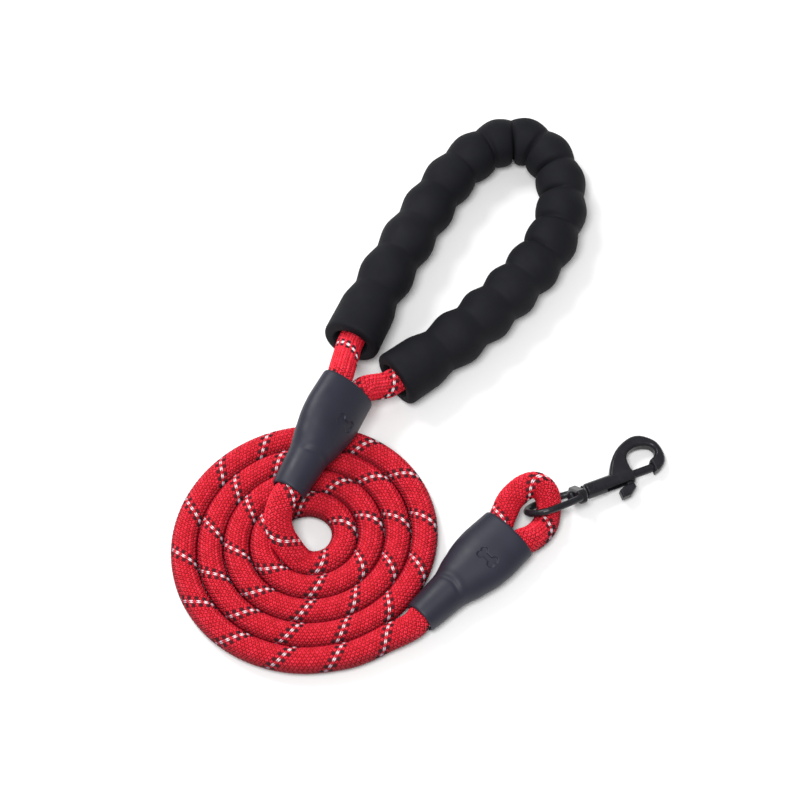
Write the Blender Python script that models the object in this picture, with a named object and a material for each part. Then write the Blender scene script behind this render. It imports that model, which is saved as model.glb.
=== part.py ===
"""Training leash: a round rope with a padded hand loop, two moulded sleeves and a swivel bolt snap.

The leash lies on the plane z = 0 with its spare rope wound into a flat spiral coil.
Lengths are written in millimetres and turned into metres where the meshes are made. +Z is up.
"""
import math

import bmesh
import bpy
from mathutils import Matrix, Vector

MM = 0.001
GAP = 0.3                   # clearance between pieces that touch

# Rope
ROPE_R = 6.35               # free rope, 12.7 mm across
HELD_R = 6.2                # rope inside the grip and the sleeves
CRIMPED_R = 5.4             # rope under a crimp band
ROPE_STEP = 6.0             # spacing of a held rope's points
ROPE_SIDES = 4              # bevel resolution of every rope tube

# Sleeves, measured along their axis from the neck end
SLEEVE_LENGTH = 58.0
LEG_OFFSET = 6.5            # each rope leg from the sleeve's axis
ROPE_START = 2.2            # where the held rope starts inside the neck
TAIL_END = 40.5             # where the cut tail ends inside the sleeve
CRIMP_FROM, CRIMP_TO = 42.0, 50.0
CRIMP_WALL = 0.5
SLEEVE_OUTSIDE = (          # station, half width, half thickness
    (0.0, 7.6, 7.6), (0.6, 8.0, 8.0), (10.0, 8.9, 8.35), (19.0, 9.7, 8.65), (22.0, 10.6, 8.8),
    (26.0, 12.0, 8.9), (30.0, 12.95, 9.0), (34.0, 14.0, 9.1), (39.0, 14.75, 9.2), (44.0, 15.05, 9.2),
    (51.0, 14.8, 9.1), (57.3, 14.5, 9.0), (58.0, 14.0, 8.5))
SLEEVE_INSIDE = (
    (58.0, 13.6, 7.3), (57.2, 13.3, 6.95), (40.0, 13.3, 6.95), (35.0, 12.8, 6.9), (30.0, 11.7, 6.85),
    (25.0, 10.4, 6.8), (20.0, 8.6, 6.75), (14.0, 7.2, 6.7), (0.6, 6.65, 6.65), (0.0, 6.9, 6.9))
MAIN_ROPE = (               # station, offset from the sleeve's axis
    (ROPE_START, 0.0), (8.0, 0.0), (14.0, 0.2), (20.0, 1.5), (25.0, 3.4), (30.0, 4.9), (35.0, 6.0),
    (40.0, LEG_OFFSET), (46.0, LEG_OFFSET), (52.0, LEG_OFFSET), (SLEEVE_LENGTH, LEG_OFFSET))
TAIL_ROPE = (
    (SLEEVE_LENGTH, LEG_OFFSET), (52.0, LEG_OFFSET), (46.0, LEG_OFFSET), (TAIL_END, LEG_OFFSET))

# Handle sleeve: it lies on the coil, rolled over to its right edge
HANDLE_NECK = Vector((-83.9, -69.9, 24.7))
HANDLE_MOUTH = Vector((-56.9, -18.9, 26.6))
HANDLE_ROLL = math.radians(41.0)

# Grip loop: its centreline from the left end round to the right end
GRIP_ROUTE = (
    (-56.3, 8.3, 19.0), (-50.6, 21.8, 17.2), (-44.1, 36.6, 16.0), (-30.5, 63.5, 14.6),
    (-15.7, 89.6, 13.8), (-7.3, 102.0, 13.4), (2.8, 113.1, 12.8), (13.6, 120.2, 12.4),
    (23.0, 122.4, 12.2), (31.6, 119.7, 12.2), (40.3, 110.8, 12.3), (44.8, 96.5, 12.5),
    (44.2, 81.1, 13.0), (39.7, 66.9, 13.4), (32.1, 54.0, 13.6), (12.6, 31.2, 13.7),
    (-9.5, 10.9, 13.9), (-35.5, -9.0, 14.3))
LEFT_LEG = ((-59.4, -7.5, 26.8), (-57.9, 0.5, 22.6))
RIGHT_LEG = ((-42.2, -12.8, 16.4), (-49.0, -16.3, 20.8))
GRIP_BULGES = (41.7, 63.8, 84.0, 102.8, 120.7, 136.0, 148.7, 162.6, 178.5, 195.0, 212.5, 229.3,
               246.0, 263.3, 281.5)
GRIP_FLARES = (20.0, 15.0)   # length of the plain flare at each end
GRIP_END_R = 13.6
GRIP_BULGE_R = 13.3         # on the straight legs
GRIP_BEND_R = 11.7          # bulges round the bend
GRIP_VALLEY_R = 11.3
GRIP_BEND_VALLEY_R = 10.1
GRIP_BEND_AT, GRIP_BEND_REACH = 145.0, 76.0
GRIP_BORE_R = 7.2
GRIP_BORE_MOUTH_R = 8.4
GRIP_SIDES = 16

# Coil: an Archimedean spiral that opens counter-clockwise
COIL_CENTRE = Vector((-74.0, -86.1, 0.0))
COIL_DRIFT = Vector((0.09, -0.33, 0.0))   # of the centre, for each turn
COIL_START_R = 10.05
COIL_START = 195.0          # degrees, where the rope would join the spiral
COIL_PITCH = 11.7
COIL_OVAL = 0.52            # longer half axis over the mean, for each turn
COIL_OVAL_AT = 22.0         # degrees, direction of the longer axis
SOLID_FROM, SOLID_TO = 297.0, 1725.0
TURN = 360.0
COIL_STATION_STEP = 6       # degrees
STEP_FACE = 1.0             # degrees taken by the solid's step at each end of the rope

# Snap sleeve: it lies flat
SNAP_NECK = Vector((-24.0, -125.4, 8.3))
SNAP_MOUTH = Vector((17.0, -84.5, 9.7))
SNAP_LOOP = (
    (14.3, -75.3, 9.8), (17.3, -68.9, 10.8), (21.8, -64.3, 11.8), (25.4, -62.1, 12.2),
    (28.6, -61.3, 12.2), (31.5, -62.2, 11.7), (33.7, -64.3, 10.8), (35.0, -67.2, 9.6),
    (35.3, -70.6, 8.4), (35.0, -74.0, 7.4), (34.1, -77.5, 6.7), (32.0, -81.2, 6.5),
    (29.2, -84.4, 7.4), (26.0, -87.0, 8.8))

# Free rope between the coil and the two necks
LEAD_IN = (
    (-86.2, -74.4, 24.5), (-88.1, -79.2, 22.6), (-88.2, -84.0, 19.4), (-86.6, -88.6, 15.8),
    (-83.5, -92.4, 12.2))
LEAD_IN_TURNS = ((232.0, 9.3), (250.0, 7.3), (268.0, 6.4))   # spiral angle, height
LEAD_OUT_TURNS = ((1735.0, 6.4), (1745.0, 6.7))
LEAD_OUT_BEND = (-28.2, -129.6, 7.9)
CORD_START = 1.5            # where the free rope starts inside a neck
LEAD_IN_SHORT, LEAD_OUT_SHORT = 14.0, 2.0   # degrees left between the solid and the tubes

# Snap: x runs forward along the barrel from the rope's centre, y to the left, z up
SNAP_ORIGIN = Vector((34.96, -70.3, 9.0))
SNAP_HEADING = math.radians(23.7)
SNAP_DIP = math.radians(5.5)
RING_ROLL = math.radians(127.0)
RING_INNER_R = 7.2
RING_BOW_AT = -1.3          # centre of the ring's bow, behind the rope's centre
WIRE_R = 1.65
RING_WAIST = 5.2            # half distance of the wire's ends at the base block
BASE_FROM, BASE_TO = 12.9, 17.8
BASE_HALF_WIDTH, BASE_HALF_DEPTH = 6.5, 3.25
PIN_R = 1.65
PIN_HOLE_R = PIN_R + GAP
PIN_PROFILE = ((10.2, 1.2), (10.6, 2.3), (11.4, 3.0), (12.4, 3.1), (12.4, PIN_R), (21.7, PIN_R),
               (21.7, 2.2), (22.5, 2.2))
WASHER_FROM, WASHER_TO, WASHER_R = 18.1, 18.9, 3.4
BARREL_FROM, BARREL_TO, BARREL_R = 19.2, 43.6, 3.75
BORE_FROM, BORE_R = 21.3, 2.55
SLOT_FROM, SLOT_TO, SLOT_HALF = 28.9, 42.0, 1.9
HOOK_OUTER = ((32.8, 3.4), (36.3, 9.0), (40.7, 13.4), (45.6, 16.1), (50.6, 17.4), (54.6, 16.7),
              (58.1, 14.2), (60.7, 10.9), (61.6, 6.6), (61.1, 2.1), (59.1, -0.8), (56.2, -2.5),
              (53.6, -3.1))
HOOK_INNER = ((53.6, 3.1), (56.1, 4.2), (57.5, 5.6), (58.0, 7.5), (56.8, 9.8), (53.5, 11.4),
              (49.8, 11.8), (46.6, 10.9), (44.5, 9.2), (43.6, 6.4), (43.6, 3.0))
HOOK_HALF = 3.0
HOOK_CHAMFER = 1.0
SOCKET_TO, SOCKET_R = 55.2, 2.4
BOLT_PROFILE = ((36.0, 2.2), (43.0, 2.2), (43.3, 2.0), (54.2, 2.0), (54.8, 1.4))
PEG_AT, PEG_R = 40.3, 0.9
STEM_HALF = 1.4
STEM_TOP = -2.55
FOOT_OUTLINE = ((41.9, -4.4), (37.1, -4.4), (33.9, -5.7), (33.8, -9.7), (38.3, -9.4), (42.2, -6.6))
FOOT_HALF = 2.2
SPRING_FROM, SPRING_TO = 22.9, 35.7
SPRING_R, SPRING_WIRE_R, SPRING_TURNS = 1.75, 0.25, 6
ROUND_SIDES = 20


# ---- curves -------------------------------------------------------------------------------------

def smooth(points, steps=10):
    """A Catmull-Rom curve through the points."""
    points = [Vector(p) for p in points]
    ends = [2 * points[0] - points[1]] + points + [2 * points[-1] - points[-2]]
    curve = []
    for a, b, c, d in zip(ends, ends[1:], ends[2:], ends[3:]):
        for k in range(steps):
            t = k / steps
            curve.append(0.5 * (2 * b + (c - a) * t + (2 * a - 5 * b + 4 * c - d) * t ** 2
                                + (3 * b - a - 3 * c + d) * t ** 3))
    return curve + [points[-1]]


def arc_lengths(curve):
    lengths = [0.0]
    for a, b in zip(curve, curve[1:]):
        lengths.append(lengths[-1] + (b - a).length)
    return lengths


def point_at(curve, lengths, distance):
    for k in range(1, len(curve) - 1):
        if lengths[k] >= distance:
            break
    else:
        k = len(curve) - 1
    share = (distance - lengths[k - 1]) / (lengths[k] - lengths[k - 1])
    return curve[k - 1].lerp(curve[k], share)


def spread(curve, step):
    """Points at equal distances along the curve."""
    lengths = arc_lengths(curve)
    count = max(2, round(lengths[-1] / step))
    return [point_at(curve, lengths, lengths[-1] * k / count) for k in range(count + 1)]


def spiral_point(degrees, height=ROPE_R, outward=0.0):
    turns = (degrees - COIL_START) / TURN
    oval = COIL_OVAL * turns * math.cos(2 * math.radians(degrees - COIL_OVAL_AT))
    radius = COIL_START_R + COIL_PITCH * turns + oval + outward
    angle = math.radians(degrees)
    return COIL_CENTRE + COIL_DRIFT * turns + Vector(
        (radius * math.cos(angle), radius * math.sin(angle), height))


# ---- meshes -------------------------------------------------------------------------------------

def material(name, colour, roughness, metallic=0.0):
    made = bpy.data.materials.new(name)
    made.use_nodes = True
    shader = made.node_tree.nodes["Principled BSDF"]
    shader.inputs["Base Color"].default_value = (*colour, 1.0)
    shader.inputs["Roughness"].default_value = roughness
    shader.inputs["Metallic"].default_value = metallic
    return made


def place(name, data, coat, parent=None):
    data.materials.append(coat)
    made = bpy.data.objects.new(name, data)
    bpy.context.collection.objects.link(made)
    made.parent = parent
    return made


def loft(bm, rings, closed=False):
    """Skin a row of rings of millimetre points; the ends are capped unless the row is closed."""
    rows = [[bm.verts.new(Vector(p) * MM) for p in ring] for ring in rings]
    if not closed:
        bm.faces.new(rows[0][::-1])
        bm.faces.new(rows[-1])
    for near, far in zip(rows, rows[1:] + (rows[:1] if closed else [])):
        for i in range(len(near)):
            j = (i + 1) % len(near)
            bm.faces.new((near[i], near[j], far[j], far[i]))


def lofted(name, coat, rings, closed=False, parent=None):
    bm = bmesh.new()
    loft(bm, rings, closed)
    bmesh.ops.recalc_face_normals(bm, faces=bm.faces)
    mesh = bpy.data.meshes.new(name)
    bm.to_mesh(mesh)
    bm.free()
    mesh.shade_smooth()
    mesh.set_sharp_from_angle(angle=math.radians(35.0))
    return place(name, mesh, coat, parent)


def circle(station, radius, sides=ROUND_SIDES):
    """A ring about the x axis."""
    turns = [2 * math.pi * k / sides for k in range(sides)]
    return [(station, radius * math.cos(t), radius * math.sin(t)) for t in turns]


def oval(half_width, half_thickness, station, arc_points=7):
    """A ring with round ends across the z axis."""
    straight = half_width - half_thickness
    ring = []
    for side in (1, -1):
        for k in range(arc_points * 2 - 1):
            angle = math.radians(-90.0 + 180.0 * k / (arc_points * 2 - 2))
            x = straight + half_thickness * math.cos(angle)
            y = half_thickness * math.sin(angle)
            ring.append((side * x, side * y, station))
    return ring


def turned(name, coat, profile, parent=None):
    return lofted(name, coat, [circle(x, r) for x, r in profile], parent=parent)


def tube(name, coat, points, radii, parent=None, resolution=ROPE_SIDES):
    """A round cord on a poly curve, with flat ends."""
    widest = max(radii)
    curve = bpy.data.curves.new(name, "CURVE")
    curve.dimensions = "3D"
    curve.bevel_depth = widest * MM
    curve.bevel_resolution = resolution
    curve.use_fill_caps = True
    spline = curve.splines.new("POLY")
    spline.points.add(len(points) - 1)
    for spot, where, radius in zip(spline.points, points, radii):
        spot.co = (*(where * MM), 1.0)
        spot.radius = radius / widest
    return place(name, curve, coat, parent)


def boolean(target, other, operation):
    step = target.modifiers.new(other.name, "BOOLEAN")
    step.operation = operation
    step.solver = "EXACT"
    step.object = other
    other.hide_render = True
    other.display_type = "WIRE"


# ---- sleeves, crimps and the rope held in them --------------------------------------------------

def sleeve_frame(neck, mouth, roll):
    """Origin at the neck end, z towards the mouth, x across both rope legs to the right."""
    along = (mouth - neck).normalized()
    level = along.cross(Vector((0, 0, 1))).normalized()
    across = Matrix.Rotation(roll, 3, along) @ level
    up = along.cross(across)
    return Matrix.Translation(neck) @ Matrix((across, up, along)).transposed().to_4x4()


def in_metres(frame):
    return Matrix.Translation(frame.translation * MM) @ frame.to_3x3().to_4x4()


def sleeve(name, coat, frame):
    rings = [oval(w, t, s) for s, w, t in SLEEVE_OUTSIDE + SLEEVE_INSIDE]
    made = lofted(name, coat, rings, closed=True)
    made.matrix_world = in_metres(frame)


def crimp(name, coat, frame):
    inner_t = CRIMPED_R + GAP
    inner_w = LEG_OFFSET + inner_t
    outer_w, outer_t = inner_w + CRIMP_WALL, inner_t + CRIMP_WALL
    rings = [oval(outer_w, outer_t, CRIMP_FROM), oval(outer_w, outer_t, CRIMP_TO),
             oval(inner_w, inner_t, CRIMP_TO), oval(inner_w, inner_t, CRIMP_FROM)]
    made = lofted(name, coat, rings, closed=True)
    made.matrix_world = in_metres(frame)


def held_radius(point, frame):
    """A held rope is pressed thinner near the crimp band."""
    station = (frame.inverted() @ point).z
    pressed = CRIMP_FROM - ROPE_STEP < station < CRIMP_TO + ROPE_STEP
    return CRIMPED_R if pressed else HELD_R


def held_rope(name, coat, frame, outside, step):
    """Rope from inside the neck, out of the mouth's left half, round, and back into its right half."""
    route = [frame @ Vector((-offset, 0, station)) for station, offset in MAIN_ROPE]
    route += [Vector(p) for p in outside]
    route += [frame @ Vector((offset, 0, station)) for station, offset in TAIL_ROPE]
    points = spread(smooth(route), step)
    tube(name, coat, points, [held_radius(p, frame) for p in points])
    return route


# ---- grip ---------------------------------------------------------------------------------------

def grip_peaks(length):
    """Where the plain flares end and each bulge is widest."""
    return (GRIP_FLARES[0],) + GRIP_BULGES + (length - GRIP_FLARES[1],)


def grip_radius(distance, length):
    """Outside radius: a plain flare at each end and a row of round bulges between them."""
    peaks = grip_peaks(length)
    bend = math.exp(-((distance - GRIP_BEND_AT) / GRIP_BEND_REACH) ** 2)
    peak = GRIP_BULGE_R + (GRIP_BEND_R - GRIP_BULGE_R) * bend
    valley = GRIP_VALLEY_R + (GRIP_BEND_VALLEY_R - GRIP_VALLEY_R) * bend
    if distance <= peaks[0]:
        return GRIP_END_R + (peak - GRIP_END_R) * distance / peaks[0]
    if distance >= peaks[-1]:
        return GRIP_END_R + (peak - GRIP_END_R) * (length - distance) / GRIP_FLARES[1]
    before, after = next(pair for pair in zip(peaks, peaks[1:]) if distance <= pair[1])
    wave = 0.5 + 0.5 * math.cos(2 * math.pi * (distance - before) / (after - before))
    return valley + (peak - valley) * wave


def grip(name, coat, route):
    """A foam tube round the rope's own route."""
    first = next(k for k, p in enumerate(route) if (p - Vector(GRIP_ROUTE[0])).length < GAP)
    dense = smooth(route)
    steps = (len(dense) - 1) // (len(route) - 1)
    curve = dense[first * steps:(first + len(GRIP_ROUTE) - 1) * steps + 1]
    lengths = arc_lengths(curve)
    total = lengths[-1]

    def ring(distance, radius):
        here = point_at(curve, lengths, distance)
        ahead = point_at(curve, lengths, min(total, distance + 1.5))
        behind = point_at(curve, lengths, max(0.0, distance - 1.5))
        along = (ahead - behind).normalized()
        side = along.cross(Vector((0, 0, 1))).normalized()
        up = side.cross(along)
        turns = [2 * math.pi * k / GRIP_SIDES for k in range(GRIP_SIDES)]
        return [here + radius * (math.cos(t) * side + math.sin(t) * up) for t in turns]

    peaks = grip_peaks(total)
    stations = [0.5 * peaks[0]] + [a + (b - a) * q / 4 for a, b in zip(peaks, peaks[1:]) for q in range(4)]
    stations += [peaks[-1], total - 0.5 * GRIP_FLARES[1]]
    rim = GRIP_END_R - 1.0
    rings = [ring(0.0, rim), ring(0.8, GRIP_END_R)]
    rings += [ring(d, grip_radius(d, total)) for d in stations if 2.0 < d < total - 2.0]
    rings += [ring(total - 0.8, GRIP_END_R), ring(total, rim), ring(total, GRIP_BORE_MOUTH_R)]
    bore = [total - 5.0 - (total - 10.0) * k / 40 for k in range(41)]
    rings += [ring(d, GRIP_BORE_R) for d in bore]
    rings += [ring(0.0, GRIP_BORE_MOUTH_R)]
    lofted(name, coat, rings, closed=True)


# ---- free rope ----------------------------------------------------------------------------------

def coil(name, coat):
    """The wound rope as one solid: the outline of the outer turn, the hole of the inner one."""
    margin = COIL_PITCH - COIL_OVAL - ROPE_R - GAP        # keeps clear of the free rope beside the solid
    arc_steps = 6
    directions = set(range(0, int(TURN), COIL_STATION_STEP))
    directions |= {SOLID_FROM - STEP_FACE, SOLID_FROM, SOLID_TO % TURN, SOLID_TO % TURN + STEP_FACE}
    rings = []
    for direction in sorted(directions):
        inner_angle = SOLID_FROM + (direction - SOLID_FROM) % TURN
        outer_angle = SOLID_TO - (SOLID_TO - direction) % TURN
        inner = spiral_point(inner_angle, 0.0, -margin)
        outer = spiral_point(outer_angle, 0.0, margin)
        out = (outer - inner).normalized()
        ring = []
        for centre, side in ((outer - out * ROPE_R, 1), (inner + out * ROPE_R, -1)):
            for j in range(arc_steps + 1):
                angle = math.radians(-90.0 + 180.0 * j / arc_steps)
                ring.append(centre + side * ROPE_R * math.cos(angle) * out
                            + Vector((0, 0, ROPE_R + side * ROPE_R * math.sin(angle))))
        rings.append(ring)
    lofted(name, coat, rings, closed=True)


def free_rope(name, coat, route):
    points = spread(smooth(route), ROPE_R)
    tube(name, coat, points, [ROPE_R] * len(points))


def lead_in(name, coat, frame):
    route = [frame @ Vector((0, 0, CORD_START)), frame.translation]
    route += [Vector(p) for p in LEAD_IN]
    route += [spiral_point(angle, height) for angle, height in LEAD_IN_TURNS]
    route += [spiral_point(SOLID_FROM - LEAD_IN_SHORT)]
    free_rope(name, coat, route)


def lead_out(name, coat, frame):
    route = [spiral_point(SOLID_TO + LEAD_OUT_SHORT)]
    route += [spiral_point(angle, height) for angle, height in LEAD_OUT_TURNS]
    route += [Vector(LEAD_OUT_BEND), frame.translation, frame @ Vector((0, 0, CORD_START))]
    free_rope(name, coat, route)


# ---- snap ---------------------------------------------------------------------------------------

def snap_axis():
    """An empty on the rope's centre: x forward along the barrel, y left, z up."""
    axis = bpy.data.objects.new("snap_axis", None)
    bpy.context.collection.objects.link(axis)
    turn = Matrix.Rotation(SNAP_HEADING, 4, "Z") @ Matrix.Rotation(SNAP_DIP, 4, "Y")
    axis.matrix_world = Matrix.Translation(SNAP_ORIGIN * MM) @ turn
    return axis


def ring_axis(parent):
    """An empty rolled about the barrel: x forward, y across the ring, z the ring's own axis."""
    axis = bpy.data.objects.new("ring_axis", None)
    bpy.context.collection.objects.link(axis)
    axis.parent = parent
    axis.rotation_euler = (RING_ROLL, 0, 0)
    return axis


def ring_path():
    """The eye's wire: a half circle behind the rope and two legs that close in on the base."""
    reach = RING_INNER_R + WIRE_R
    leg = [(x, reach - (reach - RING_WAIST) * (x / BASE_TO) ** 2) for x in (14.5, 11.0, 8.0, 5.0, 2.5)]
    angles = [math.radians(90.0 + 180.0 * k / 14) for k in range(15)]
    bow = [Vector((RING_BOW_AT + reach * math.cos(a), reach * math.sin(a), 0)) for a in angles]
    return [Vector((x, y, 0)) for x, y in leg] + bow + [Vector((x, -y, 0)) for x, y in reversed(leg)]


def wire_ring(before, here, after):
    along = (after - before).normalized()
    side = along.cross(Vector((0, 0, 1))).normalized()
    turns = [2 * math.pi * k / 12 for k in range(12)]
    return [here + WIRE_R * (math.cos(t) * side + Vector((0, 0, math.sin(t)))) for t in turns]


def swivel_eye(name, coat, parent):
    path = ring_path()
    ends = [2 * path[0] - path[1]] + path + [2 * path[-1] - path[-2]]
    made = lofted(name, coat, [wire_ring(a, b, c) for a, b, c in zip(ends, ends[1:], ends[2:])],
                  parent=parent)
    block = lofted(name + "_base", coat, block_rings(), parent=parent)
    hole = turned(name + "_hole", coat, ((BASE_FROM - 1, PIN_HOLE_R), (BASE_TO + 1, PIN_HOLE_R)), parent)
    boolean(made, block, "UNION")
    boolean(made, hole, "DIFFERENCE")


def block_rings():
    edge = 0.9
    rings = []
    for x, shrink in ((BASE_FROM, edge), (BASE_FROM + edge, 0), (BASE_TO - edge, 0), (BASE_TO, edge)):
        w, d = BASE_HALF_WIDTH - shrink, BASE_HALF_DEPTH - shrink
        rings.append([(x, w, d - edge), (x, w - edge, d), (x, edge - w, d), (x, -w, d - edge),
                      (x, -w, edge - d), (x, edge - w, -d), (x, w - edge, -d), (x, w, edge - d)])
    return rings


def washer(name, coat, parent):
    rings = [circle(WASHER_FROM, WASHER_R), circle(WASHER_TO, WASHER_R), circle(WASHER_TO, PIN_HOLE_R),
             circle(WASHER_FROM, PIN_HOLE_R)]
    lofted(name, coat, rings, closed=True, parent=parent)


def inset(outline, amount):
    """Move each point of an anticlockwise outline inwards."""
    moved = []
    for k, here in enumerate(outline):
        along = (outline[(k + 1) % len(outline)] - outline[k - 1]).normalized()
        moved.append(here + amount * Vector((-along.y, along.x, 0)))
    return moved


def plate(name, coat, outline, half, chamfer, parent):
    """A flat plate of the outline with chamfered rims."""
    small = inset(outline, chamfer)
    rings = []
    for ring, z in ((small, -half), (outline, chamfer - half), (outline, half - chamfer), (small, half)):
        rings.append([(p.x, p.y, z) for p in ring])
    return lofted(name, coat, rings, parent=parent)


def box(name, coat, low, high, parent):
    (x0, y0, z0), (x1, y1, z1) = low, high
    rings = [[(x, y0, z0), (x, y1, z0), (x, y1, z1), (x, y0, z1)] for x in (x0, x1)]
    return lofted(name, coat, rings, parent=parent)


def hook_body(name, coat, parent):
    """Barrel and hook in one casting, bored for the bolt and slotted for the lever."""
    ease = 0.6
    made = turned(name, coat, ((BARREL_FROM, BARREL_R - ease), (BARREL_FROM + ease, BARREL_R),
                               (BARREL_TO - ease, BARREL_R), (BARREL_TO, BARREL_R - ease)), parent)
    outer = smooth([Vector((*p, 0)) for p in HOOK_OUTER], 2)
    inner = smooth([Vector((*p, 0)) for p in HOOK_INNER], 2)
    foot = [Vector((HOOK_INNER[-1][0] - ease, 0.4, 0)), Vector((HOOK_OUTER[0][0] + ease, 0.4, 0))]
    outline = list(reversed(foot + outer + inner))
    hook = plate(name + "_hook", coat, outline, HOOK_HALF, HOOK_CHAMFER, parent)
    bore = turned(name + "_bore", coat, ((BORE_FROM, BORE_R), (BARREL_TO + 1, BORE_R)), parent)
    back = turned(name + "_back", coat, ((BARREL_FROM - 1, PIN_HOLE_R), (BORE_FROM + 1, PIN_HOLE_R)), parent)
    socket = turned(name + "_socket", coat, ((HOOK_OUTER[-1][0] - 1, SOCKET_R), (SOCKET_TO, SOCKET_R)),
                    parent)
    slot = box(name + "_slot", coat, (SLOT_FROM, -BARREL_R - 1, -SLOT_HALF), (SLOT_TO, -1.0, SLOT_HALF),
               parent)
    boolean(made, hook, "UNION")
    for cutter in (bore, back, socket, slot):
        boolean(made, cutter, "DIFFERENCE")


def bolt(name, coat, parent):
    made = turned(name, coat, BOLT_PROFILE, parent)
    reach = PEG_R + GAP
    hole = lofted(name + "_peg_hole", coat, peg_rings(reach, STEM_TOP - 1, 0.3), parent=parent)
    boolean(made, hole, "DIFFERENCE")


def peg_rings(radius, bottom, top):
    turns = [2 * math.pi * k / 12 for k in range(12)]
    return [[(PEG_AT + radius * math.cos(t), y, radius * math.sin(t)) for t in turns]
            for y in (bottom, top)]


def thumb_lever(name, coat, parent):
    """A peg into the bolt, a stem through the slot and a foot for the thumb."""
    outline = [Vector((*p, 0)) for p in FOOT_OUTLINE]
    made = plate(name, coat, outline, FOOT_HALF, 0.7, parent)
    stem = box(name + "_stem", coat, (PEG_AT - STEM_HALF, FOOT_OUTLINE[0][1] - 1, -STEM_HALF),
               (PEG_AT + STEM_HALF, STEM_TOP, STEM_HALF), parent)
    peg = lofted(name + "_peg", coat, peg_rings(PEG_R, STEM_TOP - 1, 0.0), parent=parent)
    boolean(made, stem, "UNION")
    boolean(made, peg, "UNION")


def spring(name, coat, parent):
    per_turn = 12
    count = SPRING_TURNS * per_turn
    low, high = SPRING_FROM + SPRING_WIRE_R, SPRING_TO - SPRING_WIRE_R
    points = []
    for k in range(count + 1):
        angle = 2 * math.pi * k / per_turn
        points.append(Vector((low + (high - low) * k / count, SPRING_R * math.cos(angle),
                              SPRING_R * math.sin(angle))))
    tube(name, coat, points, [SPRING_WIRE_R] * len(points), parent, resolution=1)


# ---- whole leash --------------------------------------------------------------------------------

def clear():
    for item in list(bpy.data.objects):
        bpy.data.objects.remove(item, do_unlink=True)


def main():
    clear()
    rope = material("rope_red", (0.62, 0.02, 0.04), 0.75)
    foam = material("grip_foam", (0.02, 0.02, 0.023), 0.85)
    moulding = material("sleeve_black", (0.035, 0.036, 0.045), 0.5)
    enamel = material("snap_black", (0.02, 0.02, 0.022), 0.35, 0.3)
    steel = material("spring_steel", (0.6, 0.6, 0.62), 0.3, 1.0)
    alloy = material("crimp_alloy", (0.75, 0.75, 0.76), 0.4, 1.0)

    handle = sleeve_frame(HANDLE_NECK, HANDLE_MOUTH, HANDLE_ROLL)
    loop = held_rope("rope_handle_loop", rope, handle, LEFT_LEG + GRIP_ROUTE + RIGHT_LEG, ROPE_STEP)
    grip("foam_grip", foam, loop)
    sleeve("handle_sleeve", moulding, handle)
    crimp("handle_crimp", alloy, handle)

    flat = sleeve_frame(SNAP_NECK, SNAP_MOUTH, 0.0)
    held_rope("rope_snap_loop", rope, flat, SNAP_LOOP, 0.6 * ROPE_STEP)
    sleeve("snap_sleeve", moulding, flat)
    crimp("snap_crimp", alloy, flat)

    lead_in("rope_lead_in", rope, handle)
    coil("rope_coil", rope)
    lead_out("rope_lead_out", rope, flat)

    axis = snap_axis()
    swivel_eye("swivel_eye", enamel, ring_axis(axis))
    turned("swivel_pin", enamel, PIN_PROFILE, axis)
    washer("swivel_washer", steel, axis)
    hook_body("snap_body", enamel, axis)
    bolt("bolt", enamel, axis)
    thumb_lever("thumb_lever", enamel, axis)
    spring("bolt_spring", steel, axis)


main()
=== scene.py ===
"""Looks of the training leash: camera, light, floor, and a detailed piece for every part of the frame.

Lengths are written in millimetres and turned into metres where meshes are made.
"""
import math

import bmesh
import bpy
import numpy as np
from mathutils import Matrix, Vector


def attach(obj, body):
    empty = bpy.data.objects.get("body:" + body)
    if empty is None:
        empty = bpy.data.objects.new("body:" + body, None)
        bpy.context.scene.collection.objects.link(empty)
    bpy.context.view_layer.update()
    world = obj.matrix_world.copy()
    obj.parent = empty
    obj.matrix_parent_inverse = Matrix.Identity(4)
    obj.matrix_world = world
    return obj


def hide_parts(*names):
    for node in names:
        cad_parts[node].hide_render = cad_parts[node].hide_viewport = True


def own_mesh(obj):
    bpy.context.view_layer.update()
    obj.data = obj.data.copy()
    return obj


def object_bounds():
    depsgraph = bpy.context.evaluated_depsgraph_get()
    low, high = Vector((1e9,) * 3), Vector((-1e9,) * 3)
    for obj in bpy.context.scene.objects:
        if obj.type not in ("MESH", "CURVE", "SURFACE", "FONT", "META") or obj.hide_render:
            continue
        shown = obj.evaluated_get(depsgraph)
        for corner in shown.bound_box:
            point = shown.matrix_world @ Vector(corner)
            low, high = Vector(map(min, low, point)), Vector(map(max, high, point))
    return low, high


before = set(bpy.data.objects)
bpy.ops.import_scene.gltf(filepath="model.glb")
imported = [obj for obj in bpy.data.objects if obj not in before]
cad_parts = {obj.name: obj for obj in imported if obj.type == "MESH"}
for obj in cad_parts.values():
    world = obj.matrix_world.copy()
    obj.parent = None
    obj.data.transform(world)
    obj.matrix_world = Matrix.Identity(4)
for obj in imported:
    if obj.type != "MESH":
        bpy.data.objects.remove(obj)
cad_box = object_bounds()

MM = 0.001
UP = np.array((0.0, 0.0, 1.0))

# ---- camera -------------------------------------------------------------------------------------
CAMERA_AT = (-0.033, -0.6257, 1.2583)
CAMERA_TILT = math.radians(26.0)
CAMERA_LENS = 133.95

# ---- light and floor ----------------------------------------------------------------------------
WORLD_LIGHT = 0.47
LIGHTS = (                   # name, place, size, watts
    ("key", (-0.8, 0.8, 1.3), 0.7, 18.0),
    ("front", (-0.15, -0.45, 1.25), 0.5, 12.2))
FLOOR_HALF = 3.0
FLOOR_DROP = 0.0003          # metres of air under the lowest point

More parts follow.
